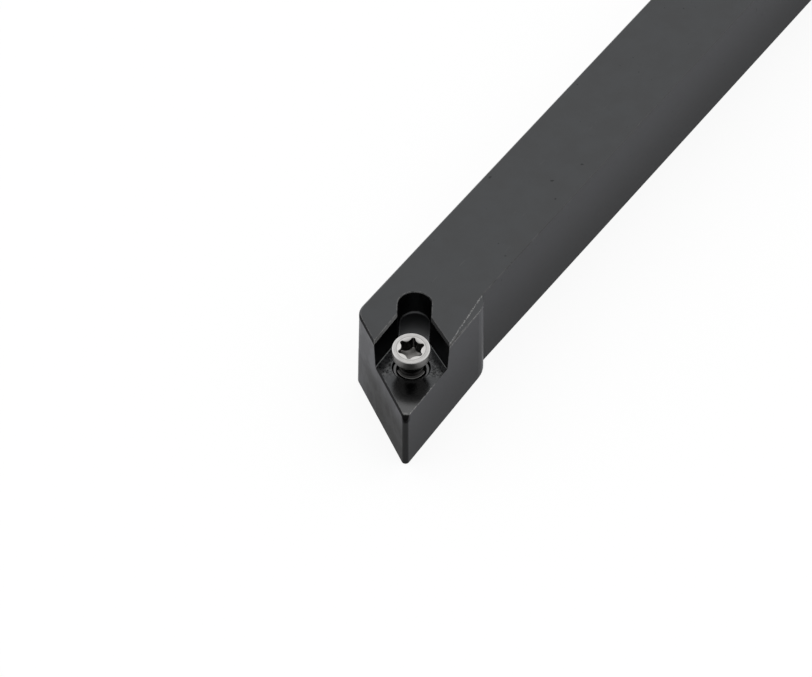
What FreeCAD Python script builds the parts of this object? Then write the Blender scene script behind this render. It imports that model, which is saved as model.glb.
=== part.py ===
import FreeCAD, Part
import math
import os

# External turning tool holder, right hand, for a positive rhombic insert.
# Millimetres. X runs across the shank to the cutting side, Y from the tip to the rear
# end and Z up. The origin is on the base, on the shank's centre line at mid-length.
# "Tip" is the insert's theoretical sharp corner, level with the top of the shank. It lies
# a little beyond the 10 mm that the rounded corner reaches.

# Shank
shank_width = 8.0
shank_height = 8.0
overall_length = 100.0
edge_chamfer = 0.15
side_edge_chamfer = 0.06
base_edge_chamfer = 0.04

# Insert that the seat takes, and how it lies
insert_circle = 6.35
insert_angle = 55.0
insert_thickness = 2.38
insert_clearance = 7.0
lead_angle = 93.0
tip_reach = 10.04

# Head: how far its flanks stay behind the insert's two cutting edges at the tip, and
# by how many degrees each turns inward from its edge
side_flank_inset = 0.63
side_flank_relief = 0.5
end_flank_inset = -0.01
end_flank_relief = 4.6
nose_radius = 0.33
back_corner_base_radius = 0.9
back_corner_top_radius = 2.1
head_length = 13.15
shoulder_radius = 3.3

# Dressed bevel along the top of the side flank, from the seat's rim to where it runs
# out on the shank's side, past the start of the shoulder
dress_front = 0.12
dress_run_out = 1.78
dress_slope = 16.0

# Insert seat
seat_wall_fillet = 0.12
seat_rim_chamfer = 0.16
relief_width = 2.9
relief_from_corner = 1.05
relief_sideways = 0.10
relief_length = 2.75
relief_rim_chamfer = 0.07
relief_floor_fillet = 0.22
nose_bevel_back = 0.35
nose_bevel_drop = 0.80

# Screw hole, set back and leaning, so that the screw draws the insert into its corner
screw_pull_back = 0.36
screw_lean = 8.9
thread_diameter = 2.5
thread_clearance = 0.05
hole_mouth_diameter = 3.36
hole_mouth_depth = 0.20
hole_mouth_draft = 35.0
hole_mouth_slope = 8.0
hole_exit_chamfer = 0.25

# Clamp screw, not yet driven home: its head stands well above the seat floor
head_standing = 2.71
screw_length = 6.5
head_diameter = 3.28
head_rim_height = 0.90
head_cone_angle = 60.0
head_edge_round = 0.07
neck_diameter = 2.18
thread_length = 3.95
screw_point_chamfer = 0.35

# Six-lobe socket
lobe_diameter = 2.34
waist_diameter = 1.72
lobe_tip_radius = 0.19
socket_depth = 1.50
socket_mouth_bevel = 0.07
socket_bottom_angle = 168.0
socket_turn = -8.0

# Length by which a cutting shape runs past what it cuts, and the closeness that counts
# as touching
margin = 1.0
touching = 1e-4


def heading(angle):
    """Unit vector at an angle from +X in the plan."""
    turn = math.radians(angle)
    return FreeCAD.Vector(math.cos(turn), math.sin(turn), 0)


def left_of(direction):
    """The direction turned a quarter turn to the left in the plan."""
    return FreeCAD.Vector(-direction.y, direction.x, 0)


def at_height(point, z):
    return FreeCAD.Vector(point.x, point.y, z)


def crossing(point_a, along_a, point_b, along_b):
    """Where two lines of the plan cross."""
    gap = point_b - point_a
    turn = along_a.x * along_b.y - along_a.y * along_b.x
    reach = (gap.x * along_b.y - gap.y * along_b.x) / turn
    return point_a + along_a * reach


back_x = -shank_width / 2
side_x = shank_width / 2
front_y = -overall_length / 2
rear_y = overall_length / 2
seat_z = shank_height - insert_thickness

# The insert's plan: two cutting edges run back from the tip, along its sides
insert_side = insert_circle / math.sin(math.radians(insert_angle))
tip = FreeCAD.Vector(back_x + tip_reach, front_y, 0)
main_edge = heading(lead_angle)
end_edge = heading(lead_angle + insert_angle)
seat_corner = tip + (main_edge + end_edge) * insert_side
insert_centre = tip + (main_edge + end_edge) * (insert_side / 2)
corner_way = (main_edge + end_edge).normalize()
screw_axis = insert_centre + corner_way * screw_pull_back
relief_axis = seat_corner - corner_way * relief_from_corner - left_of(corner_way) * relief_sideways

# The flanks, as lines of the plan
side_flank_point = tip + left_of(main_edge) * side_flank_inset
side_flank = heading(lead_angle - side_flank_relief)
end_flank_point = tip - left_of(end_edge) * end_flank_inset
end_flank = heading(lead_angle + insert_angle - end_flank_relief)
nose_corner = crossing(side_flank_point, side_flank, end_flank_point, end_flank)
back_corner = crossing(end_flank_point, end_flank, FreeCAD.Vector(back_x, 0, 0), heading(90))

# The shoulder's arc leaves the side flank at a tangent and dies into the shank's side
head_rear = FreeCAD.Vector(0, front_y + head_length, 0)
shoulder_start = crossing(side_flank_point, side_flank, head_rear, heading(0))
shoulder_centre = shoulder_start + left_of(side_flank) * shoulder_radius


def rounded(before, corner, after, radius):
    """Start, middle and end of the tangent arc that rounds a corner of the plan."""
    to_before = (before - corner).normalize()
    to_after = (after - corner).normalize()
    half = to_before.getAngle(to_after) / 2
    inward = (to_before + to_after).normalize()
    reach = radius / math.tan(half)
    middle = corner + inward * (radius / math.sin(half) - radius)
    return corner + to_before * reach, middle, corner + to_after * reach


def arc(points):
    return Part.Arc(*points).toShape()


def line(start, end):
    return Part.LineSegment(start, end).toShape()


def prism(points, travel):
    """Closed polygon drawn out along a vector."""
    return Part.Face(Part.makePolygon(list(points) + [points[0]])).extrude(travel)


def turned(axis, profile):
    """Solid of revolution about an upright axis, from (radius, height) pairs."""
    points = [axis + FreeCAD.Vector(radius, 0, z) for radius, z in profile]
    face = Part.Face(Part.makePolygon(points + [points[0]]))
    return face.revolve(axis, FreeCAD.Vector(0, 0, 1), 360)


def rim_edges(solid, z):
    """Edges that lie level at one height."""
    level = []
    for edge in solid.Edges:
        box = edge.BoundBox
        if abs(box.ZMin - z) + abs(box.ZMax - z) < touching:
            level.append(edge)
    return level


def off_seam(edges, seam):
    """The edges that don't lie along the seam's line of the plan."""
    if seam is None:
        return edges
    free = []
    for edge in edges:
        middle = Part.Vertex(at_height(edge.CenterOfMass, 0))
        if middle.distToShape(seam)[0] > touching:
            free.append(edge)
    return free


def broken_block(outline, seam=None):
    """Outline raised to the shank's height, with its edges broken, but not at a seam."""
    block = Part.Face(Part.Wire(outline)).extrude(FreeCAD.Vector(0, 0, shank_height))
    back_corners = []
    for edge in block.Edges:
        if edge.distToShape(Part.Vertex(at_height(back_corner, shank_height / 2)))[0] < touching:
            back_corners.append(edge)
    if back_corners:
        block = block.makeFillet(back_corner_base_radius, back_corner_top_radius, back_corners)
    broken = []
    for edge in block.Edges:
        box = edge.BoundBox
        if box.YMin > rear_y - touching and box.ZLength > shank_height - touching:
            broken.append(edge)
    for edge in off_seam(rim_edges(block, shank_height), seam):
        box = edge.BoundBox
        if abs(box.XMin - side_x) + abs(box.XMax - side_x) > touching:
            broken.append(edge)
    block = block.makeChamfer(edge_chamfer, broken)
    return block.makeChamfer(base_edge_chamfer, off_seam(rim_edges(block, 0), seam))


def side_edge_cut():
    """Small chamfer along the shank's top edge on the cutting side."""
    start = FreeCAD.Vector(side_x, front_y, shank_height)
    section = [
        start - FreeCAD.Vector(side_edge_chamfer + margin, 0, -margin),
        start + FreeCAD.Vector(margin, 0, margin),
        start + FreeCAD.Vector(margin, 0, -side_edge_chamfer - margin),
    ]
    return prism(section, FreeCAD.Vector(0, overall_length + margin, 0))


def bar():
    """Shank and head before machining: two overlapping blocks that share the end flank."""
    rear_left = FreeCAD.Vector(back_x, rear_y, 0)
    rear_right = FreeCAD.Vector(side_x, rear_y, 0)
    front_right = crossing(end_flank_point, end_flank, rear_right, heading(90))
    shank = [
        line(rear_left, back_corner),
        line(back_corner, front_right),
        line(front_right, rear_right),
        line(rear_right, rear_left),
    ]

    nose_arc = rounded(back_corner, nose_corner, shoulder_start, nose_radius)
    shoulder_middle = shoulder_centre + heading(45) * shoulder_radius
    shoulder_top = shoulder_centre + heading(90) * shoulder_radius
    seam_foot = (back_corner + front_right) / 2
    inner_seam = line(shoulder_top, seam_foot)
    head = [
        line(seam_foot, nose_arc[0]),
        arc(nose_arc),
        line(nose_arc[2], shoulder_start),
        arc((shoulder_start, shoulder_middle, shoulder_top)),
        inner_seam,
    ]
    return broken_block(shank).cut(side_edge_cut()).fuse(broken_block(head, inner_seam))


def seat_outline(z, outward):
    """Corner and sides of the seat at a height, moved outward from the insert's faces."""
    draft = (shank_height - z) * math.tan(math.radians(insert_clearance))
    shift = (outward - draft) / math.sin(math.radians(insert_angle / 2))
    corner = at_height(seat_corner + corner_way * shift, z)
    return [
        corner,
        corner - main_edge * head_length,
        corner - (main_edge + end_edge) * head_length,
        corner - end_edge * head_length,
    ]


def seat_wedge(low, low_outward, high, high_outward):
    """Flat-sided solid between the seat's outlines at two heights."""
    bottom = seat_outline(low, low_outward)
    top = seat_outline(high, high_outward)
    sides = [bottom[::-1], top]
    for number in range(4):
        following = (number + 1) % 4
        sides.append([bottom[number], bottom[following], top[following], top[number]])
    faces = [Part.Face(Part.makePolygon(points + [points[0]])) for points in sides]
    solid = Part.Solid(Part.Shell(faces))
    return solid if solid.Volume > 0 else solid.reversed()


def seat_cut():
    """What the milling of the insert seat takes away."""
    top = shank_height + margin
    pocket = seat_wedge(seat_z, 0, top, 0)
    corner = Part.Vertex(seat_outline(seat_z, 0)[0])
    wall_feet = []
    for edge in rim_edges(pocket, seat_z):
        if edge.distToShape(corner)[0] < touching:
            wall_feet.append(edge)
    pocket = pocket.makeFillet(seat_wall_fillet, wall_feet)

    # The rim's chamfer ends at the relief, which has one of its own
    rim = seat_wedge(shank_height - seat_rim_chamfer, 0, top, seat_rim_chamfer + margin)
    across = left_of(corner_way) * head_length
    relief_line = [relief_axis - across, relief_axis + across]
    behind = relief_line + [point + corner_way * head_length for point in relief_line[::-1]]
    rim = rim.cut(prism(behind, FreeCAD.Vector(0, 0, top + margin)))
    return pocket.multiFuse([rim] + relief_cut())


def relief_section(across):
    """Half of the relief slot's section, from its middle plane out to one side."""
    side = relief_width / 2
    turn = relief_floor_fillet * (1 - math.cos(math.radians(45)))
    path = [
        (0, seat_z),
        (side - relief_floor_fillet, seat_z),
        (side - turn, seat_z + turn),
        (side, seat_z + relief_floor_fillet),
        (side, shank_height - relief_rim_chamfer),
        (side + relief_rim_chamfer + margin, shank_height + margin),
        (0, shank_height + margin),
    ]
    points = [at_height(relief_axis + across * out, z) for out, z in path]
    edges = [line(points[0], points[1]), arc(points[1:4])]
    for start, end in zip(points[3:], points[4:] + points[:1]):
        edges.append(line(start, end))
    return Part.Face(Part.Wire(edges))


def relief_cut():
    """Slot for the insert's inner corner: it ends round and opens into the seat."""
    across = left_of(corner_way)
    forward = corner_way * -relief_length
    halves = [relief_section(across), relief_section(across * -1)]
    end = halves[0].revolve(at_height(relief_axis, 0), FreeCAD.Vector(0, 0, 1), 360)
    return [end] + [half.extrude(forward) for half in halves]


def seat_edge_cut():
    """Broken edge of the seat floor where it meets the end flank."""
    out = left_of(end_flank)
    section = [
        at_height(back_corner - out * edge_chamfer, seat_z),
        at_height(back_corner + out * margin, seat_z),
        at_height(back_corner + out * margin, seat_z - edge_chamfer - margin),
    ]
    strip = prism(section, nose_corner - back_corner - end_flank * margin)
    return strip.common(seat_wedge(0, -seat_wall_fillet, seat_z + margin, -seat_wall_fillet))


def nose_bevel_cut():
    """Small bevel under the insert's corner, so that the sharp corner overhangs it."""
    out = corner_way * -1
    slope = nose_bevel_back / nose_bevel_drop
    edge = at_height(nose_corner + corner_way * nose_radius, seat_z)
    across = left_of(corner_way) * margin
    section = [
        edge - out * (nose_bevel_back + slope * margin) + FreeCAD.Vector(0, 0, margin),
        edge + out * margin + FreeCAD.Vector(0, 0, margin),
        edge + out * margin - FreeCAD.Vector(0, 0, nose_bevel_drop + margin / slope),
    ]
    return prism([point - across for point in section], across * 2)


def dress_cut():
    """Shallow bevel dressed along the top edge of the side flank."""
    front = crossing(side_flank_point, side_flank, seat_corner, end_edge)
    start = at_height(front + left_of(side_flank) * dress_front, shank_height)
    end = FreeCAD.Vector(side_x, head_rear.y + dress_run_out, shank_height)
    along = (end - start).normalize()
    out = left_of(along) * -1
    drop = math.tan(math.radians(dress_slope))
    width = tip_reach - shank_width + margin
    start = start - along * margin
    section = [
        start,
        start + out * width - FreeCAD.Vector(0, 0, width * drop),
        start + out * width + FreeCAD.Vector(0, 0, margin),
        start + FreeCAD.Vector(0, 0, margin),
    ]
    return prism(section, end - start + along * edge_chamfer)


def leaning(shape):
    """Shape about the upright screw axis, turned so that its top leans toward the tip."""
    placed = shape.copy()
    placed.rotate(at_height(screw_axis, seat_z), left_of(corner_way), -screw_lean)
    return placed


def screw_hole_cut():
    """Tapped hole right through the head, at the thread's outer size, with its mouth."""
    radius = thread_diameter / 2 + thread_clearance
    hole = [
        (0, -margin),
        (radius + hole_exit_chamfer + margin, -margin),
        (radius, hole_exit_chamfer),
        (radius, seat_z + margin),
        (0, seat_z + margin),
    ]
    draft = math.tan(math.radians(hole_mouth_draft))
    mouth = hole_mouth_diameter / 2
    mouth_foot = mouth - hole_mouth_depth * draft
    mouth_bottom = seat_z - hole_mouth_depth
    step = [
        (0, mouth_bottom - mouth_foot * math.tan(math.radians(hole_mouth_slope))),
        (mouth_foot, mouth_bottom),
        (mouth + margin * draft, seat_z + margin),
        (0, seat_z + margin),
    ]
    return leaning(turned(screw_axis, hole)).fuse(turned(screw_axis, step))


def holder_body():
    body = bar()
    for cut in (dress_cut(), seat_cut(), seat_edge_cut(), nose_bevel_cut(), screw_hole_cut()):
        body = body.cut(cut)
    return body.removeSplitter()


def socket_face(z):
    """Six-lobe outline: six small outward arcs joined by six larger inward ones."""
    lobe_centre = lobe_diameter / 2 - lobe_tip_radius
    waist = waist_diameter / 2
    turn = math.radians(30)
    next_lobe = FreeCAD.Rotation(FreeCAD.Vector(0, 0, 1), 60)

    # The inward arc's centre lies so far out that the two arcs touch at a tangent
    inner = waist - lobe_tip_radius
    centre_reach = (lobe_centre ** 2 - inner ** 2) / (2 * (lobe_centre * math.cos(turn) - inner))
    edges = []
    for number in range(6):
        angle = socket_turn + 60 * number
        lobe = heading(angle) * lobe_centre
        before = heading(angle - 30) * centre_reach
        after = heading(angle + 30) * centre_reach
        start = lobe + (before - lobe).normalize() * lobe_tip_radius
        end = lobe + (after - lobe).normalize() * lobe_tip_radius
        crest = heading(angle) * (lobe_diameter / 2)
        edges.append(arc((start, crest, end)))
        edges.append(arc((end, heading(angle + 30) * waist, next_lobe.multVec(start))))
    outline = Part.Wire(edges)
    outline.translate(at_height(screw_axis, z))
    return Part.Face(outline)


def socket_cut(head_top):
    """Socket with a bevelled mouth and a shallow conical bottom."""
    lobe = lobe_diameter / 2
    walls = socket_face(head_top - socket_depth).extrude(FreeCAD.Vector(0, 0, socket_depth + margin))
    sink = lobe / math.tan(math.radians(socket_bottom_angle / 2))
    bottom = turned(
        screw_axis,
        [
            (0, head_top - socket_depth),
            (lobe + margin, head_top - socket_depth + sink + margin),
            (lobe + margin, head_top + margin * 2),
            (0, head_top + margin * 2),
        ],
    )
    bevel_slope = socket_mouth_bevel / (lobe - waist_diameter / 2)
    mouth = turned(
        screw_axis,
        [
            (0, head_top - bevel_slope * lobe),
            (lobe, head_top),
            (lobe, head_top + margin),
            (0, head_top + margin),
        ],
    )
    return walls.common(bottom).fuse(mouth)


def clamp_screw():
    """Countersunk screw with a relieved neck; its thread is left plain, at full size."""
    head_top = seat_z + head_standing
    head = head_diameter / 2
    neck = neck_diameter / 2
    stem = thread_diameter / 2
    rim_bottom = head_top - head_rim_height
    cone_bottom = rim_bottom - (head - neck) / math.tan(math.radians(head_cone_angle / 2))
    point = head_top - screw_length
    thread_top = point + thread_length
    profile = [
        (0, point),
        (stem - screw_point_chamfer, point),
        (stem, point + screw_point_chamfer),
        (stem, thread_top),
        (neck, thread_top + stem - neck),
        (neck, cone_bottom),
        (head, rim_bottom),
        (head, head_top),
        (0, head_top),
    ]
    blank = turned(screw_axis, profile)
    blank = blank.makeFillet(head_edge_round, rim_edges(blank, head_top))
    return leaning(blank.cut(socket_cut(head_top)))


os.makedirs("parts", exist_ok=True)
holder_body().exportStep("parts/holder_body.step")
clamp_screw().exportStep("parts/clamp_screw.step")
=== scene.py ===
import math

import bmesh
import bpy
from mathutils import Matrix, Vector


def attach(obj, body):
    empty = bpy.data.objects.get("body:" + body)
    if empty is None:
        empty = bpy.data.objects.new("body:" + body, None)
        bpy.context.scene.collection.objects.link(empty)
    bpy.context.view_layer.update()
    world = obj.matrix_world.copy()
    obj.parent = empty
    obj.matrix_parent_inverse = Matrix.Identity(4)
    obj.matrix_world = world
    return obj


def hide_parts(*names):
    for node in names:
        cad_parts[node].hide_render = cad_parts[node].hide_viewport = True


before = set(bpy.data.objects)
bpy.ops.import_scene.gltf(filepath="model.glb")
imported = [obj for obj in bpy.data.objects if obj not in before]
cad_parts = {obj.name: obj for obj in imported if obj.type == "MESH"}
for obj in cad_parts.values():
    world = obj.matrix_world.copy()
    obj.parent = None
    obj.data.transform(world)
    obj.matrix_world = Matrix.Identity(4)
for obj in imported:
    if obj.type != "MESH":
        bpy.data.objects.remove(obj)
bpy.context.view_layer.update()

# Sizes are in millimetres and become metres where a mesh is made.
MM = 0.001


def grey(level, warmth=0.0):
    return (level * (1 + warmth), level, level * (1 - warmth), 1.0)


# Tones of the blackened steel, among them painted shade, painted sheen and painted highlights
HOLDER = {
    "blackened": grey(0.0515, -0.02),
    "cloud": grey(0.0545, -0.03),
    "grain": grey(0.070, -0.02),
    # Painted sheen on the chamfer between the top and the side
    "side chamfer sheen": grey(0.058),
    "side chamfer sheen cloud": grey(0.078),
    "far side chamfer sheen": grey(0.067),
    "scratch": grey(0.115),
    "speck": grey(0.014),
    # Painted sheen on the seat floor near the tip
    "near tip sheen": grey(0.105),
    # Painted shade low at the front of the end flank
    "low front shade": grey(0.022),
    "light fleck": grey(0.12),
    "dark fleck": grey(0.006),
    "scuff": grey(0.15, -0.01),
    # Painted shade on the strip of the rounded nose
    "nose_shade": grey(0.014),
    # Painted shade on the bevel at the nose
    "nose bevel": grey(0.003),
    # Painted shade on the chamfer between the top and the end flank
    "shaded leaning end": grey(0.008),
    # Painted shade on the walls of the seat
    "shaded seat wall": grey(0.008),
    # Painted shade on the drafted wall of the hole's mouth
    "shaded mouth wall": grey(0.002),
    # Painted sheen on the flat of the hole's mouth
    "mouth floor sheen": grey(0.085),
    "worn edge": grey(0.26, 0.02),
    # Painted highlight along edges, partly rubbed metal
    "edge highlight line": grey(0.21, 0.01),
    # Painted shade low on the sides, and duller blackening in clouds
    "dull_and_shade": grey(0.012),
}

# Tones of the turned screw, among them painted shade and painted highlights
SCREW = {
    "land": grey(0.34, 0.015),
    "land cloud": grey(0.40, 0.02),
    # Painted highlight on the ring around the socket's mouth
    "inner ring highlight": grey(0.44, 0.02),
    # Painted shade in a thin line at the edge of the socket's mouth
    "ring shade line": grey(0.19, 0.02),
    # Painted highlight along the head's rim
    "rim highlight": grey(0.50, 0.01),
    "side": grey(0.175, 0.02),
    # Painted shade on the cone under the head
    "shade below head": grey(0.16, 0.03),
    # Painted shade over the thread, with a painted highlight on its crests
    "thread": grey(0.028, 0.02),
    "thread crest highlight": grey(0.24, 0.02),
    # Painted shade inside the socket
    "socket": grey(0.008, 0.04),
    "socket bottom": grey(0.31, 0.03),
}

# Clamp screw: radii, heights and lengths, its six-lobe socket, and how finely it is divided
ROOT_RADIUS = 0.97
THREAD_RADIUS = 1.245
THREAD_PITCH = 0.45
THREAD_FLAT = 0.06
THREAD_LENGTH = 3.95
NECK_RADIUS = 1.085
POINT_CHAMFER = 0.35
RIM_HEIGHT = 0.90
HEAD_RADIUS = 1.64
SCREW_LENGTH = 6.5
CONE_HALF_ANGLE = 30.0
HEAD_ROUND = 0.07
SOCKET_DEPTH = 1.50
SOCKET_LOBE = 1.17
SOCKET_WAIST = 0.86
LOBE_TIP = 0.19
MOUTH_BEVEL = 0.07
BOTTOM_HALF_ANGLE = 84.0
SOCKET_TURN = -8.0
HEAD_DIVISIONS = 216
FLAT_BORDER = 0.01
BORDER_FROM = 0.1

# Collar where the thread ends: its radii, and their heights over the thread's end
COLLAR = (
    (ROOT_RADIUS, -0.32),
    (THREAD_RADIUS, -0.19),
    (THREAD_RADIUS, -0.13),
    (NECK_RADIUS, 0.04),
)

# Thread: where its ridge starts above the point, and how it is cut and runs out
THREAD_START = 0.12
THREAD_STEPS = 64
RIDGE_SINK = 0.2
RIDGE_LEAST = 0.01
RUN_OUT_TURNS = 0.6
ROOT_OVERLAP = 0.005

# Blends of the neck into the cone and of the cone into the head's rim
NECK_BLEND_DOWN = 0.06
NECK_BLEND_OUT = 0.05
NECK_BLEND_UP = 0.0866
RIM_BLEND_IN = 0.02
RIM_BLEND_DOWN = 0.035
RIM_BLEND_UP = 0.04
HEAD_CORNER = 0.02

# Socket: the land's edge, the lip of its mouth, and its rings from the mouth to the middle
LAND_EDGE = 0.03
MOUTH_DROP = 0.004
MOUTH_LIP = 0.015
WALL_DROPS = (0.015, 0.03, 0.4)
FOOT_RINGS = ((0.0, 0.06), (0.0, 0.05), (0.01, 0.015), (0.05, 0.0))
BOTTOM_SHARES = (0.6, 0.3, 0.08)

# Edges that turn by more than this many degrees are drawn sharp
SHARP_FROM = 32

# The screw's axis: where it meets the seat floor, and how it leans toward the tip
SCREW_FOOT = (2.3674, -43.7652, 5.62)
SCREW_STANDING = 2.71
SCREW_LEAN = 8.9
CORNER_HEADING = 120.5

# Holder: height of its seat, centre of its rounded nose in the plan, the way that its end
# flank faces, and the way in the plan from the seat's inner corner to the tip
SEAT_FLOOR = 5.62
NOSE_CENTRE = (5.03, -48.85)
END_FLANK_OUT = (-0.5962, -0.8028, 0.0)
TIP_WAY = (0.5075, -0.8616, 0.0)

# Lines of the plan that edges follow: the way each faces, and its distance from the origin
DRESSED_EDGE = ((0.9907, 0.1357, 0.0), -0.796)
SIDE_FLANK_EDGE = ((0.99905, 0.0436, 0.0), 3.2245)
END_FLANK_EDGE = (END_FLANK_OUT, 36.549)

# Hole's mouth: the rim, the foot of its drafted wall, and the hole itself
MOUTH_RIM = 1.68
MOUTH_FOOT = 1.54
HOLE_RADIUS = 1.30

# Relief slot: centre of its round inner end
RELIEF_CENTRE = (-0.3206, -39.0047, 0.0)

# Bands across which a mark fades in, along the holder and upward
NEAR_HEAD_Y = (-17.0, -27.0)
SHANK_SIDE_Y = (-36.8, -36.6)
HEAD_TOP_Y = (-34.5, -36.5)
FLECKS_Y = (-41.6, -42.2)
DRESSED_FRONT_Y = (-42.2, -41.9)
DRESSED_REAR_Y = (-34.8, -35.4)
LOW_FRONT_Y = (-41.8, -46.0)
FLOOR_RIM_Y = (-44.0, -45.0)
FLOOR_LINE_Y = (-44.2, -44.8)
NEAR_TIP_Y = (-46.4, -48.2)
SCUFFED_Y = (-48.5, -43.5)
SCUFFED_Z = (1.0, 6.5)
LOW_FRONT_Z = (5.6, 2.8)
LOW_SIDE_Z = (7.5, 0.5)

# How close a surface's direction comes to a way for it to count as facing that way
FACING = (0.9, 0.97)

# Edge rounding that shading shows on the holder and on the screw, and its quality
HOLDER_EDGE = 0.045
HOLDER_WEAR_EDGE = 0.10
SCREW_EDGE = 0.02
EDGE_SAMPLES = 6

# Rings on the head's land: the flat one around the socket, painted lighter as a highlight, and its
# outer line, painted dark as shade
INNER_RING = 1.27

# White surround: how much of it is plain white to the camera and in mirrors
TABLE_TO_CAMERA = 0.89
TABLE_IN_MIRROR = 0.45
SKY_IN_MIRROR = 0.30
TABLE_REACH = 2.5
TABLE_DROP = 0.00002
WHITE = (1.0, 1.0, 1.0, 1.0)

# Light of the sky: its least, its rise toward the top, and broad windows behind, at the
# right and at the left, each with its way, where it starts, where it is full, and its light
SKY_LEAST = 0.38
SKY_RISE = 0.33
SKY_WINDOWS = (
    ((-0.390, 0.610, 0.690), 0.55, 0.93, 0.83),
    ((0.657, 0.664, 0.357), 0.50, 0.95, 0.57),
    ((-0.920, -0.240, 0.310), 0.70, 0.97, 0.78),
)

# Camera, as found from the edges of the photograph
CAMERA_TURN = 32.55
CAMERA_RISE = 43.70
CAMERA_TARGET = (0.94, -41.429, 4.0)
CAMERA_DISTANCE = 516.0
CAMERA_LENS = 266.4
CAMERA_SHIFT = (-0.0073, 0.0253)
CAMERA_SENSOR = 36.0
CAMERA_NEAR = 0.01
CAMERA_FAR = 20.0


class Signal:
    """A number, colour or vector that passes between two nodes."""

    def __init__(self, nodes, socket):
        self.nodes = nodes
        self.socket = socket

    def output(self, name):
        return Signal(self.nodes, self.socket.node.outputs[name])

    def math(self, operation, *others):
        values = dict(enumerate((self,) + others))
        return self.nodes.node("ShaderNodeMath", {"operation": operation}, values)

    def __add__(self, other):
        return self.math("ADD", other)

    def __sub__(self, other):
        return self.math("SUBTRACT", other)

    def __rsub__(self, other):
        return self.math("MULTIPLY_ADD", -1.0, other)

    def __mul__(self, other):
        return self.math("MULTIPLY", other)


class Nodes:
    """The nodes of one finish, of the studio or of a piece that a rule makes."""

    def __init__(self, tree):
        self.tree = tree
        tree.nodes.clear()

    def node(self, kind, settings=None, sockets=None, output=0):
        """Makes a node: its settings first, then the values or links of its sockets."""
        made = self.tree.nodes.new(kind)
        for name, value in (settings or {}).items():
            setattr(made, name, value)
        for name, value in (sockets or {}).items():
            if isinstance(value, Signal):
                self.tree.links.new(value.socket, made.inputs[name])
            else:
                made.inputs[name].default_value = value
        return Signal(self, made.outputs[output]) if made.outputs else None

    def vector(self, operation, *values, output="Vector"):
        sockets = dict(enumerate(values))
        return self.node("ShaderNodeVectorMath", {"operation": operation}, sockets, output)

    def dot(self, first, second):
        return self.vector("DOT_PRODUCT", first, second, output="Value")

    def distance(self, first, second):
        return self.vector("DISTANCE", first, second, output="Value")

    def step(self, value, start, end):
        """Rises smoothly from 0 at start to 1 at end; start may be the larger one."""
        sockets = {"Value": value, "From Min": start, "From Max": end}
        return self.node("ShaderNodeMapRange", {"interpolation_type": "SMOOTHSTEP"}, sockets)

    def mix(self, share, first, second):
        sockets = {0: share, 6: first, 7: second}
        return self.node("ShaderNodeMix", {"data_type": "RGBA"}, sockets, 2)

    def noise(self, place, scale, detail=2.0, roughness=0.5):
        sockets = {"Vector": place, "Scale": scale, "Detail": detail, "Roughness": roughness}
        return self.node("ShaderNodeTexNoise", {"normalize": True}, sockets)

    def place(self, stand=None):
        """Place on the object in millimetres, or as seen from a piece that stands on it."""
        on_object = self.node("ShaderNodeTexCoord", output="Object")
        back = stand.inverted() if stand else Matrix()
        sockets = {
            "Vector": on_object,
            "Location": back.translation / MM,
            "Rotation": back.to_euler("XYZ"),
            "Scale": (1 / MM, 1 / MM, 1 / MM),
        }
        return self.node("ShaderNodeMapping", {"vector_type": "POINT"}, sockets)

    def stretched(self, place, scale):
        return self.vector("MULTIPLY", place, scale)

    def part(self, vector, axis):
        return self.node("ShaderNodeSeparateXYZ", None, {0: vector}, axis)

    def rounded(self, radius):
        """Surface direction as if sharp edges were rounded, by a radius in millimetres."""
        sockets = {"Radius": radius * MM}
        return self.node("ShaderNodeBevel", {"samples": EDGE_SAMPLES}, sockets)

    def bump(self, height, normal):
        """Surface direction with a relief whose height is in millimetres."""
        sockets = {"Strength": 1.0, "Distance": MM, "Height": height, "Normal": normal}
        return self.node("ShaderNodeBump", None, sockets)


def new_finish(name):
    material = bpy.data.materials.new(name)
    material.use_nodes = True
    return material, Nodes(material.node_tree)


def beyond_edge(nodes, place, edge):
    """How far a place lies beyond a line of the plan, on the side that the line's edge faces."""
    way, distance = edge
    return nodes.dot(place, way) - distance


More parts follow.
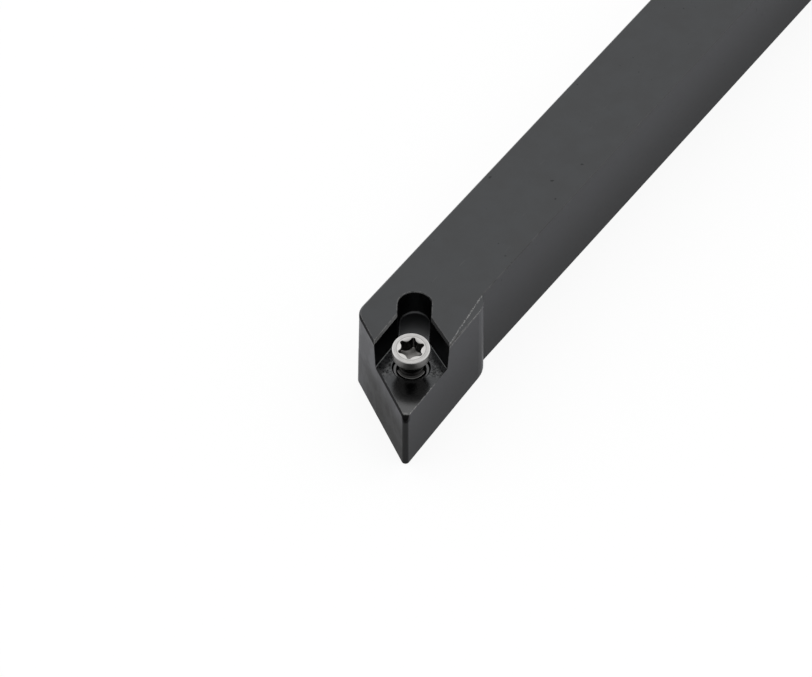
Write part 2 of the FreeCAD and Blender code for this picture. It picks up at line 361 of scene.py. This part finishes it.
def black_oxide_finish():
    """Milled steel, blackened: satin, slightly cloudy, worn bare where edges have been touched,
    with painted shade, painted sheen and painted highlights in places.
    """
    material, nodes = new_finish("black_oxide_on_milled_steel")
    place = nodes.place()
    y = nodes.part(place, "Y")
    z = nodes.part(place, "Z")
    surface = nodes.node("ShaderNodeNewGeometry", output="Normal")
    rounded = nodes.rounded(HOLDER_EDGE)
    broad_round = nodes.rounded(HOLDER_WEAR_EDGE)

    faces_up = nodes.step(nodes.dot(surface, (0.0, 0.0, 1.0)), *FACING)
    seat_floor = faces_up * nodes.step(z, SEAT_FLOOR + 0.4, SEAT_FLOOR + 0.2)
    end_flank = nodes.step(nodes.dot(surface, END_FLANK_OUT), 0.60, 0.97)
    faces_side = nodes.step(nodes.dot(surface, (1.0, 0.0, 0.0)), *FACING)
    side_chamfer_sheen = nodes.step(nodes.dot(surface, (0.7071, 0.0, 0.7071)), 0.955, 0.985)
    shaded_leaning_end = nodes.step(nodes.dot(surface, (-0.4216, -0.5677, 0.7071)), 0.965, 0.99)
    plan = nodes.stretched(place, (1.0, 1.0, 0.0))
    from_nose = nodes.vector("SUBTRACT", place, (NOSE_CENTRE[0], NOSE_CENTRE[1], 0.0))
    ahead = nodes.dot(from_nose, TIP_WAY)
    nose_shade = nodes.step(ahead, 0.18, 0.27) * (1.0 - faces_up)
    nose_bevel_shade = nodes.step(ahead, -0.08, -0.03) * nodes.step(z, 4.78, 4.95) * (1.0 - faces_up)
    from_hole = nodes.distance(plan, (SCREW_FOOT[0], SCREW_FOOT[1], 0.0))
    inside = nodes.step(beyond_edge(nodes, place, SIDE_FLANK_EDGE), -0.08, -0.16)
    inside = inside * nodes.step(beyond_edge(nodes, place, END_FLANK_EDGE), -0.08, -0.16)
    shaded_seat_walls = inside * nodes.step(from_hole, 5.4, 5.2) * (1.0 - faces_up)
    shaded_seat_walls = shaded_seat_walls * nodes.step(z, 5.72, 5.80) * nodes.step(z, 7.84, 7.80)
    in_relief = seat_floor * nodes.step(nodes.distance(plan, RELIEF_CENTRE), 2.4, 1.3)
    at_mouth = nodes.step(z, SEAT_FLOOR - 0.01, SEAT_FLOOR - 0.03) * nodes.step(z, 5.0, 5.1)
    shaded_mouth_wall = at_mouth * nodes.step(from_hole, MOUTH_FOOT - 0.05, MOUTH_FOOT)
    shaded_mouth_wall = shaded_mouth_wall * nodes.step(from_hole, MOUTH_RIM + 0.05, MOUTH_RIM)
    mouth_floor_sheen = at_mouth * nodes.step(from_hole, HOLE_RADIUS, HOLE_RADIUS + 0.03)
    mouth_floor_sheen = mouth_floor_sheen * nodes.step(from_hole, MOUTH_FOOT, MOUTH_FOOT - 0.05)

    # Clouds in the blackening, fine grain, and long marks drawn along the bar
    clouds = nodes.noise(place, 0.55, 3.0, 0.55)
    grain = nodes.noise(place, 9.0, 3.0, 0.6)
    drawn = nodes.noise(nodes.stretched(place, (7.0, 0.25, 7.0)), 1.0, 2.0, 0.6)
    tone = nodes.mix(nodes.step(clouds, 0.3, 0.7), HOLDER["blackened"], HOLDER["cloud"])
    tone = nodes.mix(nodes.step(grain, 0.62, 0.8) * 0.35, tone, HOLDER["grain"])
    near_head = nodes.step(y, *NEAR_HEAD_Y)
    # Painted sheen on the chamfer between the top and the side: lighter than the blackening, in
    # clouds near the head and even farther from it
    chamfer_sheen_clouds = nodes.step(clouds, 0.48, 0.60)
    chamfer_sheen_tone = nodes.mix(chamfer_sheen_clouds, HOLDER["side chamfer sheen"], HOLDER["side chamfer sheen cloud"])
    chamfer_sheen_tone = nodes.mix(near_head, HOLDER["far side chamfer sheen"], chamfer_sheen_tone)
    tone = nodes.mix(side_chamfer_sheen, tone, chamfer_sheen_tone)

    # Hairline scratches along the bar, in loose groups
    hairs = nodes.noise(nodes.stretched(place, (9.0, 0.30, 9.0)), 1.0, 2.0, 0.5)
    groups = nodes.step(nodes.noise(place, 0.20, 2.0, 0.5), 0.54, 0.64) * (faces_side * 0.5 + 0.3)
    tone = nodes.mix(nodes.step(hairs, 0.68, 0.73) * groups, tone, HOLDER["scratch"])
    specks = nodes.noise(place, 1.9, 1.0, 0.4)
    tone = nodes.mix(nodes.step(specks, 0.765, 0.79) * 0.6, tone, HOLDER["speck"])
    # Painted sheen on the seat floor near the tip
    near_tip_sheen = seat_floor * nodes.step(y, *NEAR_TIP_Y)
    tone = nodes.mix(near_tip_sheen * 0.6, tone, HOLDER["near tip sheen"])
    # Painted shade low at the front of the end flank
    low_front_shade = nodes.step(y, *LOW_FRONT_Y) * nodes.step(z, *LOW_FRONT_Z)
    tone = nodes.mix(end_flank * low_front_shade * 0.6, tone, HOLDER["low front shade"])

    # Rough flecks in the blackening of the seat floor, on both sides of the hole
    flecks = nodes.noise(nodes.stretched(place, (5.0, 5.0, 1.0)), 1.0, 4.0, 0.75)
    beside_screw = nodes.dot(nodes.vector("SUBTRACT", place, SCREW_FOOT), TIP_WAY)
    fleck_area = seat_floor * nodes.step(from_hole, 1.70, 1.80) * nodes.step(beside_screw, 1.6, 0.7)
    fleck_area = fleck_area * nodes.step(y, *FLECKS_Y)
    tone = nodes.mix(fleck_area * nodes.step(flecks, 0.53, 0.61) * 0.5, tone, HOLDER["light fleck"])
    tone = nodes.mix(fleck_area * nodes.step(flecks, 0.49, 0.41) * 0.9, tone, HOLDER["dark fleck"])

    # Lighter scuffs on the end flank, strongest along its upper rear part
    scuffs = nodes.noise(nodes.stretched(place, (0.75, 0.75, 0.60)), 1.0, 4.0, 0.58)
    high = nodes.step(z, *SCUFFED_Z) * nodes.step(y, *SCUFFED_Y)
    scuffed = end_flank * nodes.step(scuffs, 0.44, 0.60) * (high * 0.85 + 0.15)
    tone = nodes.mix(scuffed * 0.7, tone, HOLDER["scuff"])
    # Painted shade on the strip of the rounded nose
    tone = nodes.mix(nose_shade * 0.75, tone, HOLDER["nose_shade"])
    # Painted shade on the bevel at the nose
    tone = nodes.mix(nose_bevel_shade * 0.9, tone, HOLDER["nose bevel"])
    # Painted shade on the chamfer between the top and the end flank
    tone = nodes.mix(shaded_leaning_end * 0.8, tone, HOLDER["shaded leaning end"])
    # Painted shade on the walls of the seat
    tone = nodes.mix(shaded_seat_walls * 0.9, tone, HOLDER["shaded seat wall"])
    # Painted shade on the drafted wall of the hole's mouth
    tone = nodes.mix(shaded_mouth_wall * 0.95, tone, HOLDER["shaded mouth wall"])
    # Painted sheen on the flat of the hole's mouth, between the wall's foot and the hole
    tone = nodes.mix(mouth_floor_sheen * 0.7, tone, HOLDER["mouth floor sheen"])

    # Bare metal where edges are rubbed
    edge = nodes.step(nodes.dot(broad_round, surface), 0.992, 0.93)
    head_top = nodes.step(y, *HEAD_TOP_Y) * nodes.step(z, 7.4, 7.7)
    floor_rim = nodes.step(y, *FLOOR_RIM_Y) * nodes.step(z, 5.4, 5.5) * nodes.step(z, 5.8, 5.7)
    patches = nodes.noise(place, 3.2, 3.0, 0.7)
    worn = edge * nodes.step(patches + head_top * 0.20 + floor_rim * 0.10, 0.60, 0.72)
    worn = worn * (1.0 - shaded_leaning_end) * (near_head * 0.7 + 0.3)
    tone = nodes.mix(worn * 0.6, tone, HOLDER["worn edge"])

    # Bright broken lines along both edges of the dressed bevel, the seat floor's edge and the tip:
    # painted highlights of the edges, partly rubbed metal
    wander = (nodes.noise(place, 2.6, 3.0, 0.6) - 0.5) * 0.24
    off_edge = (beyond_edge(nodes, place, DRESSED_EDGE) + wander).math("ABSOLUTE")
    upper = nodes.step(off_edge, 0.085, 0.02) * nodes.step(z, 7.90, 7.96)
    off_edge = (beyond_edge(nodes, place, SIDE_FLANK_EDGE) + wander * 0.5).math("ABSOLUTE")
    lower = nodes.step(off_edge, 0.07, 0.02) * nodes.step(z, 7.68, 7.73)
    broken = nodes.step(nodes.noise(place, 6.5, 3.0, 0.75), 0.43, 0.60)
    highlight_lines = (upper + lower * 0.6) * nodes.step(y, *DRESSED_FRONT_Y) * nodes.step(y, *DRESSED_REAR_Y)
    floor_highlight_line = nodes.step(off_edge, 0.09, 0.03) * nodes.step(z, 5.50, 5.55)
    floor_highlight_line = floor_highlight_line * nodes.step(z, 5.70, 5.66) * nodes.step(y, *FLOOR_LINE_Y)
    tip_highlight_line = nodes.step(ahead, -0.25, -0.10) * nodes.step(z, 5.58, 5.60)
    tip_highlight_line = tip_highlight_line * nodes.step(z, 5.70, 5.66)
    highlight_lines = (highlight_lines + floor_highlight_line * 0.8 + tip_highlight_line * 0.5) * broken
    tone = nodes.mix(highlight_lines * 0.9, tone, HOLDER["edge highlight line"])

    roughness = clouds * 0.04 + grain * 0.06 + drawn * 0.05 + 0.23
    roughness = roughness + scuffed * 0.10 - seat_floor * 0.11 + in_relief * 0.16
    height = grain * 0.0012 + drawn * 0.0008 + fleck_area * flecks * 0.004
    bumped = nodes.bump(height, rounded)
    shader = nodes.node(
        "ShaderNodeBsdfPrincipled",
        None,
        {
            "Base Color": tone,
            "Metallic": 1.0,
            "Roughness": roughness,
            "Specular Tint": (0.75, 0.75, 0.77, 1.0),
            "Normal": bumped,
        },
    )
    # Dull dark shader mixed in: painted shade low on the side and a little along the shank's side,
    # duller blackening in clouds over the end flank, and most painted shade low at its front
    dull_and_shade = nodes.node(
        "ShaderNodeBsdfPrincipled",
        None,
        {
            "Base Color": HOLDER["dull_and_shade"],
            "Metallic": 0.0,
            "Roughness": 0.5,
            "Specular IOR Level": 0.12,
            "Normal": bumped,
        },
    )
    patchiness = nodes.step(nodes.noise(place, 0.62, 3.0, 0.55), 0.58, 0.42)
    shade_and_dullness = end_flank * (patchiness * 0.22 + low_front_shade * 0.82)
    # Painted shade low on the side and a little along the shank's side
    side_shade = nodes.step(z, *LOW_SIDE_Z) * 0.50 + nodes.step(y, *SHANK_SIDE_Y) * 0.08
    shade_and_dullness = shade_and_dullness + faces_side * side_shade
    surface_shader = nodes.node("ShaderNodeMixShader", None, {0: shade_and_dullness, 1: shader, 2: dull_and_shade})
    nodes.node("ShaderNodeOutputMaterial", None, {"Surface": surface_shader})
    return material


def screw_stand():
    """How the screw stands in the seat, from its own frame with the head's top at zero."""
    turn = math.radians(CORNER_HEADING + 90)
    across = Vector((math.cos(turn), math.sin(turn), 0))
    lean = Matrix.Rotation(math.radians(-SCREW_LEAN), 4, across)
    foot = Matrix.Translation(Vector(SCREW_FOOT) * MM)
    return foot @ lean @ Matrix.Translation((0, 0, SCREW_STANDING * MM))


def screw_steel_finish(stand):
    """Turned satin steel, bright on the head, with painted shade inside the socket, under the head
    and on the thread, and painted highlights on the rim, around the socket's mouth and on the
    thread's crests.
    """
    material, nodes = new_finish("turned_screw_steel")
    place = nodes.place(stand)
    z = nodes.part(place, "Z")
    out = nodes.vector("LENGTH", nodes.stretched(place, (1.0, 1.0, 0.0)), output="Value")

    inside = nodes.step(out, SOCKET_LOBE + 0.02, SOCKET_LOBE - 0.02)
    slope = MOUTH_BEVEL / (SOCKET_LOBE - SOCKET_WAIST)
    below_mouth = (out - SOCKET_LOBE) * slope - z
    in_socket = inside * nodes.step(below_mouth, 0.02, 0.16) * nodes.step(z, -1.7, -1.6)
    on_bottom = in_socket * nodes.step(z, -1.27, -1.36)
    shade_below_head = nodes.step(z, -0.88, -1.0) * nodes.step(in_socket, 0.5, 0.1)

    around = nodes.node("ShaderNodeCombineXYZ", None, {"X": out * 26.0, "Y": z * 26.0})
    rings = nodes.noise(around, 1.0, 3.0, 0.6)
    grain = nodes.noise(place, 11.0, 3.0, 0.6)
    clouds = nodes.noise(place, 1.6, 2.0, 0.5)
    tone = nodes.mix(nodes.step(clouds, 0.3, 0.7), SCREW["land"], SCREW["land cloud"])
    # Painted highlight on the ring around the socket's mouth
    tone = nodes.mix(nodes.step(out, INNER_RING, INNER_RING - 0.04), tone, SCREW["inner ring highlight"])
    # Painted shade in a thin line at the edge of the socket's mouth
    ring_shade_line = nodes.step((out - INNER_RING).math("ABSOLUTE"), 0.045, 0.01)
    tone = nodes.mix(ring_shade_line * 0.75, tone, SCREW["ring shade line"])
    # Painted highlight along the head's rim, next to its rounded edge
    rim_highlight = nodes.step(out, 1.52, 1.57) * nodes.step(z, -0.07, -0.04)
    tone = nodes.mix(rim_highlight, tone, SCREW["rim highlight"])
    on_side = nodes.step(out, 1.59, 1.62) * nodes.step(z, -0.05, -0.09)
    tone = nodes.mix(on_side, tone, SCREW["side"])
    # Painted shade on the cone under the head
    tone = nodes.mix(shade_below_head, tone, SCREW["shade below head"])
    # Painted shade over the thread, with a painted highlight on its crests
    on_thread = nodes.step(z, -2.45, -2.52)
    tone = nodes.mix(on_thread, tone, SCREW["thread"])
    tone = nodes.mix(on_thread * nodes.step(out, 1.21, 1.24), tone, SCREW["thread crest highlight"])
    # Painted shade inside the socket
    tone = nodes.mix(in_socket * 0.97, tone, SCREW["socket"])
    tone = nodes.mix(on_bottom * 0.9, tone, SCREW["socket bottom"])

    roughness = grain * 0.06 + rings * 0.05 + 0.10 + in_socket * 0.20 + on_side * 0.20
    height = rings * 0.00022 + grain * 0.0003
    bumped = nodes.bump(height, nodes.rounded(SCREW_EDGE))
    shader = nodes.node(
        "ShaderNodeBsdfPrincipled",
        None,
        {"Base Color": tone, "Metallic": 1.0, "Roughness": roughness, "Normal": bumped},
    )
    nodes.node("ShaderNodeOutputMaterial", None, {"Surface": shader})
    return material


def socket_reach(angle):
    """How far the six-lobe socket's wall lies from the axis, in a direction of the head."""
    turn = abs((angle - math.radians(SOCKET_TURN - 30)) % math.radians(60) - math.radians(30))
    lobe = SOCKET_LOBE - LOBE_TIP
    inner = SOCKET_WAIST - LOBE_TIP
    waist_turn = math.radians(30)
    waist_centre = (lobe ** 2 - inner ** 2) / (2 * (lobe * math.cos(waist_turn) - inner))
    waist_radius = waist_centre - SOCKET_WAIST
    touch_x = waist_centre * math.cos(waist_turn) - lobe
    touch_y = waist_centre * math.sin(waist_turn)
    share = LOBE_TIP / math.hypot(touch_x, touch_y)
    touch_turn = math.atan2(touch_y * share, lobe + touch_x * share)
    if turn < touch_turn:
        return lobe * math.cos(turn) + math.sqrt(LOBE_TIP ** 2 - (lobe * math.sin(turn)) ** 2)
    off = waist_turn - turn
    half_chord = math.sqrt(waist_radius ** 2 - (waist_centre * math.sin(off)) ** 2)
    return waist_centre * math.cos(off) - half_chord


def quarter_round(start, end, corner, steps):
    """Points that round a corner of a profile, from start to end."""
    points = []
    for number in range(steps + 1):
        share = number / steps
        weight = 1 - share
        points.append(
            tuple(
                weight * weight * a + 2 * weight * share * c + share * share * b
                for a, b, c in zip(start, end, corner)
            )
        )
    return points


def with_borders(profile):
    """Adds a point near each end of a straight stretch, so that its shading stays flat."""
    points = profile[:1]
    for start, end in zip(profile, profile[1:]):
        length = math.dist(start, end)
        if length > BORDER_FROM:
            for share in (FLAT_BORDER / length, 1 - FLAT_BORDER / length):
                points.append(tuple(a + (b - a) * share for a, b in zip(start, end)))
        points.append(end)
    return points


def screw_profile():
    """Outside of the screw from its point to the flat land of its head, head top at 0."""
    cone_height = (HEAD_RADIUS - NECK_RADIUS) / math.tan(math.radians(CONE_HALF_ANGLE))
    cone_bottom = -RIM_HEIGHT - cone_height
    thread_top = THREAD_LENGTH - SCREW_LENGTH
    profile = [
        (ROOT_RADIUS - POINT_CHAMFER, -SCREW_LENGTH),
        (ROOT_RADIUS, POINT_CHAMFER - SCREW_LENGTH),
    ]
    profile += [(radius, thread_top + rise) for radius, rise in COLLAR]
    profile += quarter_round(
        (NECK_RADIUS, cone_bottom - NECK_BLEND_DOWN),
        (NECK_RADIUS + NECK_BLEND_OUT, cone_bottom + NECK_BLEND_UP),
        (NECK_RADIUS, cone_bottom),
        steps=4,
    )
    profile += quarter_round(
        (HEAD_RADIUS - RIM_BLEND_IN, -RIM_HEIGHT - RIM_BLEND_DOWN),
        (HEAD_RADIUS, RIM_BLEND_UP - RIM_HEIGHT),
        (HEAD_RADIUS, -RIM_HEIGHT),
        steps=3,
    )
    profile += quarter_round(
        (HEAD_RADIUS, -HEAD_ROUND),
        (HEAD_RADIUS - HEAD_ROUND, 0.0),
        (HEAD_RADIUS - HEAD_CORNER, -HEAD_CORNER),
        steps=6,
    )
    profile.append((SOCKET_LOBE + LAND_EDGE, 0.0))
    return with_borders(profile)


def shade_smooth(mesh):
    for face in mesh.faces:
        face.smooth = True
    for side in mesh.edges:
        side.smooth = side.calc_face_angle(0.0) < math.radians(SHARP_FROM)


def clamp_screw_piece(stand, finish):
    """The screw's body: point, root of the thread, neck, countersunk head and socket."""
    slope = MOUTH_BEVEL / (SOCKET_LOBE - SOCKET_WAIST)
    sink = 1 / math.tan(math.radians(BOTTOM_HALF_ANGLE))
    turns = [2 * math.pi * number / HEAD_DIVISIONS for number in range(HEAD_DIVISIONS)]
    reach = [socket_reach(turn) for turn in turns]

    rings = [[(radius, z)] * HEAD_DIVISIONS for radius, z in screw_profile()]
    rings.append([(SOCKET_LOBE, -MOUTH_DROP)] * HEAD_DIVISIONS)
    for share in (0.5, 1.0):
        ring = []
        for wall in reach:
            radius = SOCKET_LOBE + (min(wall + MOUTH_LIP, SOCKET_LOBE) - SOCKET_LOBE) * share
            ring.append((radius, (radius - SOCKET_LOBE) * slope - MOUTH_DROP))
        rings.append(ring)
    for drop in WALL_DROPS:
        rings.append([(wall, (wall - SOCKET_LOBE) * slope - drop) for wall in reach])
    for inset, rise in FOOT_RINGS:
        rings.append([(wall - inset, wall * sink - SOCKET_DEPTH + rise) for wall in reach])
    for share in BOTTOM_SHARES:
        rings.append([(wall * share, wall * share * sink - SOCKET_DEPTH) for wall in reach])

    mesh = bmesh.new()
    grid = []
    for ring in rings:
        row = []
        for turn, (radius, z) in zip(turns, ring):
            spot = Vector((radius * math.cos(turn), radius * math.sin(turn), z)) * MM
            row.append(mesh.verts.new(stand @ spot))
        grid.append(row)
    for low, high in zip(grid, grid[1:]):
        for number in range(HEAD_DIVISIONS):
            following = (number + 1) % HEAD_DIVISIONS
            mesh.faces.new((low[number], low[following], high[following], high[number]))
    point = mesh.verts.new(stand @ Vector((0, 0, -SCREW_LENGTH * MM)))
    deepest = mesh.verts.new(stand @ Vector((0, 0, -SOCKET_DEPTH * MM)))
    for number in range(HEAD_DIVISIONS):
        following = (number + 1) % HEAD_DIVISIONS
        mesh.faces.new((grid[0][following], grid[0][number], point))
        mesh.faces.new((grid[-1][number], grid[-1][following], deepest))
    shade_smooth(mesh)

    data = bpy.data.meshes.new("clamp_screw_head_and_stem")
    mesh.to_mesh(data)
    mesh.free()
    data.materials.append(finish)
    piece = bpy.data.objects.new(data.name, data)
    bpy.context.collection.objects.link(piece)
    return piece


def thread_rule():
    """Node tree for a helical ridge of trapezoid section that runs out at both ends."""
    tree = bpy.data.node_groups.new("screw_thread_rule", "GeometryNodeTree")
    face = tree.interface
    sizes = {}
    kinds = dict.fromkeys(
        ("Root Radius", "Ridge Height", "Ridge Foot", "Ridge Flat", "Turns", "Length", "Run-out"),
        "NodeSocketFloat",
    )
    kinds["Finish"] = "NodeSocketMaterial"
    for name, kind in kinds.items():
        sizes[name] = face.new_socket(name, in_out="INPUT", socket_type=kind).identifier
    face.new_socket("Geometry", in_out="OUTPUT", socket_type="NodeSocketGeometry")

    nodes = Nodes(tree)
    given = nodes.node("NodeGroupInput")
    root = given.output("Root Radius")
    foot = given.output("Ridge Foot") * 0.5
    flat = given.output("Ridge Flat") * 0.5
    height = given.output("Ridge Height")
    helix = nodes.node(
        "GeometryNodeCurveSpiral",
        None,
        {
            "Resolution": THREAD_STEPS,
            "Rotations": given.output("Turns"),
            "Start Radius": root,
            "End Radius": root,
            "Height": given.output("Length"),
        },
    )
    helix = nodes.node("GeometryNodeSetCurveNormal", {"mode": "Z_UP"}, {"Curve": helix})
    along = nodes.node("GeometryNodeSplineParameter", output="Length")
    run_out = given.output("Run-out")
    whole = nodes.node("GeometryNodeCurveLength", None, {"Curve": helix})
    grows = nodes.step(along, 0.0, run_out)
    fades = nodes.step(along, whole, whole - run_out)
    share = grows * fades * (1 - RIDGE_LEAST) + RIDGE_LEAST
    corners = {}
    for name, (out, up) in {
        "Point 1": (-RIDGE_SINK, -1.0),
        "Point 2": (-RIDGE_SINK, 1.0),
        "Point 3": (1.0, 1.0),
        "Point 4": (1.0, -1.0),
    }.items():
        half = flat if out > 0 else foot
        spot = {"X": height * out, "Y": half * up}
        corners[name] = nodes.node("ShaderNodeCombineXYZ", None, spot)
    section = nodes.node("GeometryNodeCurvePrimitiveQuadrilateral", {"mode": "POINTS"}, corners)
    ridge = nodes.node(
        "GeometryNodeCurveToMesh",
        None,
        {"Curve": helix, "Profile Curve": section, "Scale": share, "Fill Caps": True},
    )
    ridge = nodes.node("GeometryNodeRealizeInstances", None, {"Geometry": ridge})
    dressed = {"Geometry": ridge, "Material": given.output("Finish")}
    ridge = nodes.node("GeometryNodeSetMaterial", None, dressed)
    nodes.node("NodeGroupOutput", None, {"Geometry": ridge})
    return tree, sizes


def plain_mesh(piece, name):
    """The piece as its modifiers make it, as a plain mesh on a new object."""
    view = bpy.context.evaluated_depsgraph_get()
    data = bpy.data.meshes.new_from_object(piece.evaluated_get(view))
    data.name = name
    bpy.data.objects.remove(piece)
    made = bpy.data.objects.new(name, data)
    bpy.context.collection.objects.link(made)
    return made


def screw_thread_piece(stand, finish):
    """Fine metric thread from the screw's point up to its neck."""
    start = THREAD_START - SCREW_LENGTH
    length = (THREAD_LENGTH - THREAD_PITCH) * MM
    tree, sizes = thread_rule()
    data = bpy.data.meshes.new("thread_start")
    piece = bpy.data.objects.new("thread_start", data)
    bpy.context.collection.objects.link(piece)
    rule = piece.modifiers.new("thread", "NODES")
    rule.node_group = tree
    rule[sizes["Root Radius"]] = (ROOT_RADIUS - ROOT_OVERLAP) * MM
    rule[sizes["Ridge Height"]] = (THREAD_RADIUS - ROOT_RADIUS) * MM
    rule[sizes["Ridge Foot"]] = (THREAD_PITCH - THREAD_FLAT) * MM
    rule[sizes["Ridge Flat"]] = THREAD_FLAT * MM
    rule[sizes["Turns"]] = length / MM / THREAD_PITCH
    rule[sizes["Length"]] = length
    rule[sizes["Run-out"]] = 2 * math.pi * ROOT_RADIUS * MM * RUN_OUT_TURNS
    rule[sizes["Finish"]] = finish
    made = plain_mesh(piece, "clamp_screw_thread")
    mesh = bmesh.new()
    mesh.from_mesh(made.data)
    raised = stand @ Matrix.Translation((0, 0, start * MM))
    bmesh.ops.transform(mesh, matrix=raised, verts=mesh.verts)
    bmesh.ops.remove_doubles(mesh, verts=mesh.verts, dist=1e-8)
    bmesh.ops.recalc_face_normals(mesh, faces=mesh.faces)
    shade_smooth(mesh)
    mesh.to_mesh(made.data)
    mesh.free()
    return made


def pale_floor():
    """White table that shows to the camera almost at full white, with the tool's soft shadow."""
    material, nodes = new_finish("white_table")
    lit = nodes.node("ShaderNodeBsdfDiffuse", None, {"Color": (0.93, 0.93, 0.93, 1.0)})
    white = nodes.node("ShaderNodeEmission", None, {"Color": WHITE, "Strength": 1.0})
    seen = nodes.node("ShaderNodeLightPath", output="Is Camera Ray")
    mirrored = seen.output("Is Glossy Ray") + seen.output("Is Transmission Ray")
    share = seen * TABLE_TO_CAMERA + mirrored * TABLE_IN_MIRROR
    surface = nodes.node("ShaderNodeMixShader", None, {0: share, 1: lit, 2: white})
    nodes.node("ShaderNodeOutputMaterial", None, {"Surface": surface})

    data = bpy.data.meshes.new("table")
    sides = ((-1, -1), (1, -1), (1, 1), (-1, 1))
    corners = [(x * TABLE_REACH, y * TABLE_REACH, 0) for x, y in sides]
    data.from_pydata(corners, [], [(0, 1, 2, 3)])
    data.materials.append(material)
    table = bpy.data.objects.new("table", data)
    table.location.z = -TABLE_DROP
    bpy.context.collection.objects.link(table)


def soft_studio():
    """Even pale surround with broad bright windows behind the tool and at both its sides."""
    world = bpy.data.worlds.new("soft_studio")
    bpy.context.scene.world = world
    world.use_nodes = True
    nodes = Nodes(world.node_tree)
    toward = nodes.node("ShaderNodeTexCoord", output="Generated")
    level = nodes.step(nodes.part(toward, "Z"), 0.0, 0.6) * SKY_RISE
    for way, start, full, light in SKY_WINDOWS:
        level = level + nodes.step(nodes.dot(toward, way), start, full) * light
    level = level + SKY_LEAST
    seen = nodes.node("ShaderNodeLightPath", output="Is Camera Ray")
    mirrored = seen.output("Is Glossy Ray") + seen.output("Is Transmission Ray")
    share = seen + mirrored * SKY_IN_MIRROR
    strength = level * (1.0 - share) + share
    sky = nodes.node("ShaderNodeBackground", None, {"Color": WHITE, "Strength": strength})
    nodes.node("ShaderNodeOutputWorld", None, {"Surface": sky})


def photograph_camera():
    turn = math.radians(CAMERA_TURN)
    rise = math.radians(CAMERA_RISE)
    level = math.cos(rise)
    back = Vector((math.sin(turn) * level, -math.cos(turn) * level, math.sin(rise)))
    data = bpy.data.cameras.new("photograph_camera")
    data.sensor_width = CAMERA_SENSOR
    data.lens = CAMERA_LENS
    data.shift_x, data.shift_y = CAMERA_SHIFT
    data.clip_start = CAMERA_NEAR
    data.clip_end = CAMERA_FAR
    camera = bpy.data.objects.new("photograph_camera", data)
    camera.location = (Vector(CAMERA_TARGET) + back * CAMERA_DISTANCE) * MM
    camera.rotation_euler = back.to_track_quat("Z", "Y").to_euler()
    bpy.context.collection.objects.link(camera)
    bpy.context.scene.camera = camera


def dress_holder():
    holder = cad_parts["holder_body"]
    finish = black_oxide_finish()
    for slot in holder.material_slots:
        slot.material = finish


def dress_screw():
    stand = screw_stand()
    finish = screw_steel_finish(stand)
    screw = clamp_screw_piece(stand, finish)
    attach(screw, "screw")
    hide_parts("clamp_screw")
    thread = screw_thread_piece(stand, finish)
    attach(thread, "screw")


bpy.context.scene.view_settings.view_transform = "Standard"
photograph_camera()
soft_studio()
pale_floor()
dress_holder()
dress_screw()

bpy.context.view_layer.update()
